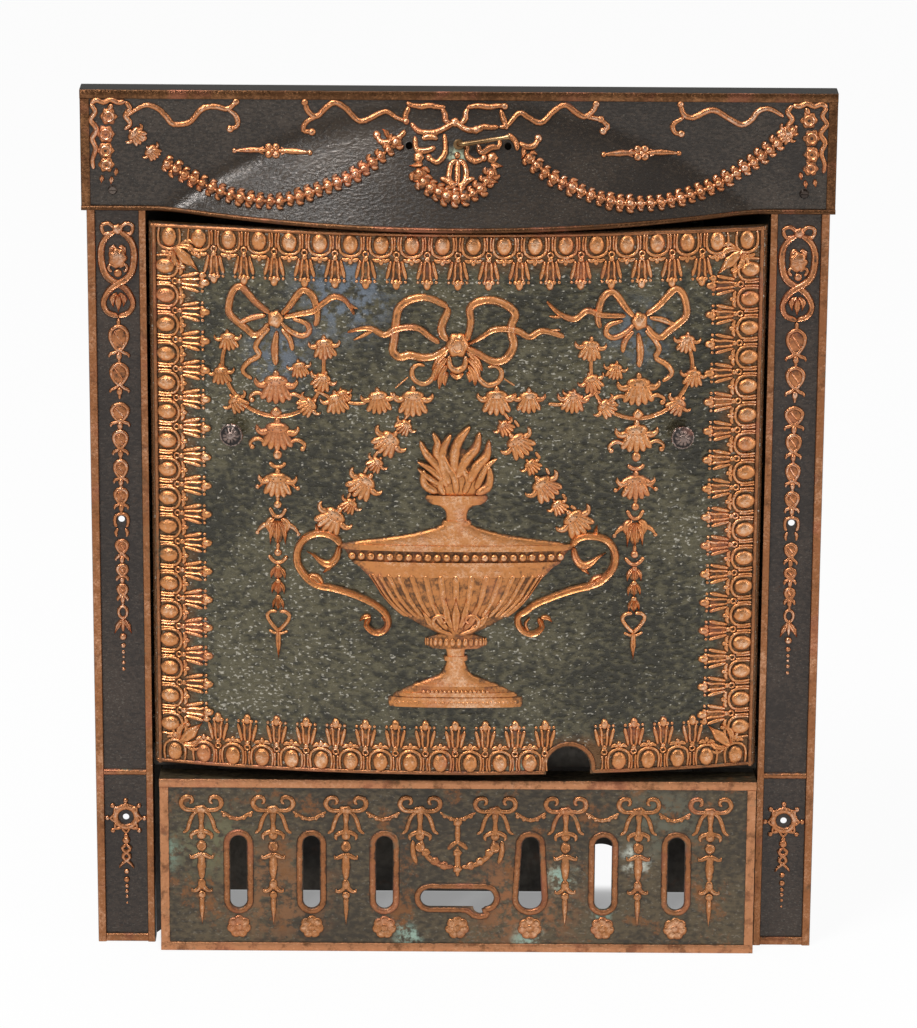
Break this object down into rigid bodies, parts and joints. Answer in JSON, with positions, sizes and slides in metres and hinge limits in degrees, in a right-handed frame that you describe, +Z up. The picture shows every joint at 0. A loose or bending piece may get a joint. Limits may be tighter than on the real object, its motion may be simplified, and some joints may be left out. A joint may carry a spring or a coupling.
{
  "type": "fireplace insert",
  "caption": "Copper-plated coal fireplace insert: bowed summer cover with urn relief, hood, pilasters, vented ash front, damper rod and shaking grate.",
  "frame": {"origin": "centre of the bounding box on the floor", "axes": "+Z up, front faces -Y, +X to the viewer's right"},
  "size_m": [0.63, 0.181, 0.76],
  "materials": {
    "copper_plate": "copper-plated pressed steel, brown with bright worn relief",
    "dark_copper": "copper-plated pressed steel, blackened ground with bright copper relief",
    "sheet_iron": "sooty matt black",
    "cast_iron": "rough black casting",
    "steel": "dull worn steel"
  },
  "bodies": {
    "surround": {"left_pilaster": "copper_plate", "right_pilaster": "copper_plate", "hood": "dark_copper", "hood_screws": "steel", "hood_nuts": "steel", "left_cheek": "sheet_iron", "right_cheek": "sheet_iron", "back_plate": "sheet_iron", "top_plate": "sheet_iron", "flue_collar": "sheet_iron", "front_rail": "sheet_iron", "back_rail": "sheet_iron", "shell_rivets": "sheet_iron", "rail_rivets": "sheet_iron", "collar_rivets": "sheet_iron", "basket_front": "cast_iron", "left_basket_end": "cast_iron", "right_basket_end": "cast_iron"},
    "cover": {"cover_panel": "dark_copper", "left_knob": "dark_copper", "right_knob": "dark_copper", "knob_nuts": "steel", "cover_braces": "sheet_iron", "cover_clips": "steel", "clip_rivets": "steel"},
    "ash_box": {"ash_front": "copper_plate"},
    "damper": {"damper_rod": "steel", "damper_plate": "sheet_iron", "damper_rivets": "sheet_iron"},
    "grate": {"shaker_grate": "cast_iron", "shaker_arm": "cast_iron", "arm_rivets": "sheet_iron"}
  },
  "joints": [
    {"name": "cover_pull", "type": "slide", "parent": "surround", "child": "cover", "axis": [0, -1, 0], "range_m": [0, 0.25]},
    {"name": "ash_front_pull", "type": "slide", "parent": "surround", "child": "ash_box", "axis": [0, -1, 0], "range_m": [0, 0.2]},
    {"name": "damper_turn", "type": "hinge", "parent": "surround", "child": "damper", "pos_m": [0, 0.03488, 0.719], "axis": [0, -1, 0], "range_deg": [-10, 80]},
    {"name": "grate_shake", "type": "slide", "parent": "surround", "child": "grate", "axis": [1, 0, 0], "range_m": [-0.022, 0.022]}
  ]
}
